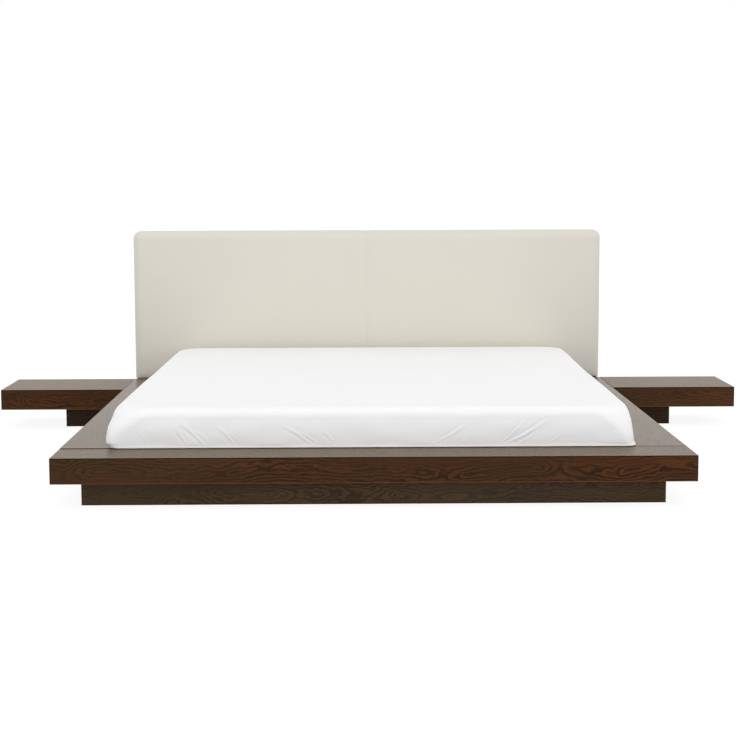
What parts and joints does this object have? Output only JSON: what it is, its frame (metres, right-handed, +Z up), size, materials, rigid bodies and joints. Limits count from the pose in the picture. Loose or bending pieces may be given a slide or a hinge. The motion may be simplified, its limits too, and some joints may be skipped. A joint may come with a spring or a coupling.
{
  "type": "waterbed",
  "caption": "Low double waterbed: dark veneered platform on a set-back plinth, slab nightstands, ivory padded headboard and a soft-sided water mattress.",
  "frame": {"origin": "on the floor, at the centre of the whole bed's footprint", "axes": "+X across the bed from one nightstand to the other, +Y from the foot to the headboard, +Z up"},
  "size_m": [3.24, 2.31, 0.86],
  "materials": {
    "dark_wood": "dark brown oak veneer with open grain, satin lacquer",
    "bare_wood": "unfinished plywood",
    "headboard_leather": "ivory leatherette, fine grain, soft sheen",
    "headboard_back_cloth": "dark lining cloth stretched over a board",
    "cover_cloth": "white stretch cloth over thin padding",
    "base_cloth": "grey casing cloth",
    "foam": "open-cell foam",
    "felt": "pressed insulation fleece",
    "core_vinyl": "blue flexible vinyl, water filled",
    "liner_vinyl": "thin grey vinyl sheet",
    "heater_film": "black heater film",
    "zip_plastic": "white zip tape and teeth",
    "zip_metal": "nickel-plated zip parts",
    "cap_plastic": "white moulded cap",
    "case_plastic": "black moulded plastic, fine texture",
    "dial_plastic": "pale moulded plastic",
    "lead_rubber": "black flexible cable sheath",
    "plate_steel": "zinc-plated steel",
    "screw_black": "black coated screw"
  },
  "bodies": {
    "platform": {"front_rail": "dark_wood", "side_rail_left": "dark_wood", "side_rail_right": "dark_wood", "head_rail": "dark_wood", "plinth_front": "dark_wood", "plinth_back": "dark_wood", "plinth_side_left": "dark_wood", "plinth_side_right": "dark_wood", "nightstand_left": "dark_wood", "nightstand_right": "dark_wood", "nightstand_plinth_front_left": "dark_wood", "nightstand_plinth_front_right": "dark_wood", "nightstand_plinth_back_left": "dark_wood", "nightstand_plinth_back_right": "dark_wood", "nightstand_plinth_end_left": "dark_wood", "nightstand_plinth_end_right": "dark_wood", "headboard_foot": "dark_wood", "cross_bearer_foot": "bare_wood", "cross_bearer_middle": "bare_wood", "cross_bearer_head": "bare_wood", "long_bearer_left": "bare_wood", "long_bearer_right": "bare_wood", "deck_panel_foot": "bare_wood", "deck_panel_head": "bare_wood", "headboard_pad": "headboard_leather", "headboard_board": "headboard_back_cloth", "base_cover": "base_cloth", "foam_side_left": "foam", "foam_side_right": "foam", "foam_end_foot": "foam", "foam_end_head": "foam", "foam_divider": "foam", "insulation_mat": "felt", "water_core_left": "core_vinyl", "water_core_right": "core_vinyl", "safety_liner_left": "liner_vinyl", "safety_liner_right": "liner_vinyl", "heater_mat_left": "heater_film", "heater_mat_right": "heater_film", "zip_chain": "zip_plastic", "control_case_left": "case_plastic", "control_case_right": "case_plastic", "heater_lead_left": "lead_rubber", "heater_lead_right": "lead_rubber", "corner_plate_left": "plate_steel", "corner_plate_right": "plate_steel", "headboard_bolt_left": "plate_steel", "headboard_bolt_right": "plate_steel", "plinth_screw_left": "screw_black", "plinth_screw_right": "screw_black"},
    "mattress_cover": {"top_cover": "cover_cloth"},
    "zip_slider": {"zip_slider": "zip_metal"},
    "zip_puller": {"zip_puller": "zip_metal"},
    "valve_cap_left": {"valve_cap_left": "cap_plastic"},
    "valve_cap_right": {"valve_cap_right": "cap_plastic"},
    "control_dial_left": {"control_dial_left": "dial_plastic"},
    "control_dial_right": {"control_dial_right": "dial_plastic"},
    "control_switch_left": {"control_switch_left": "case_plastic"},
    "control_switch_right": {"control_switch_right": "case_plastic"}
  },
  "joints": [
    {"name": "cover_lift", "type": "slide", "parent": "platform", "child": "mattress_cover", "axis": [0, 0, 1], "range_m": [0, 0.35]},
    {"name": "zip_slide", "type": "slide", "parent": "platform", "child": "zip_slider", "axis": [1, 0, 0], "range_m": [0, 1.56]},
    {"name": "puller_swing", "type": "hinge", "parent": "zip_slider", "child": "zip_puller", "pos_m": [-0.78, -0.9493, 0.15275], "axis": [-1, 0, 0], "range_deg": [0, 15]},
    {"name": "valve_cap_left_turn", "type": "hinge", "parent": "platform", "child": "valve_cap_left", "pos_m": [-0.4, 0.695, 0.29], "axis": [0, 0, 1], "range_deg": [0, 540]},
    {"name": "valve_cap_right_turn", "type": "hinge", "parent": "platform", "child": "valve_cap_right", "pos_m": [0.4, 0.695, 0.29], "axis": [0, 0, 1], "range_deg": [0, 540]},
    {"name": "control_dial_left_turn", "type": "hinge", "parent": "platform", "child": "control_dial_left", "pos_m": [-1.56, 0.955, 0.0712], "axis": [1, 0, 0], "range_deg": [-135, 135]},
    {"name": "control_dial_right_turn", "type": "hinge", "parent": "platform", "child": "control_dial_right", "pos_m": [1.56, 0.955, 0.0712], "axis": [-1, 0, 0], "range_deg": [-135, 135]},
    {"name": "control_switch_left_rock", "type": "hinge", "parent": "platform", "child": "control_switch_left", "pos_m": [-1.554, 0.991, 0.0712], "axis": [0, 1, 0], "range_deg": [0, 14]},
    {"name": "control_switch_right_rock", "type": "hinge", "parent": "platform", "child": "control_switch_right", "pos_m": [1.554, 0.991, 0.0712], "axis": [0, -1, 0], "range_deg": [0, 14]}
  ]
}
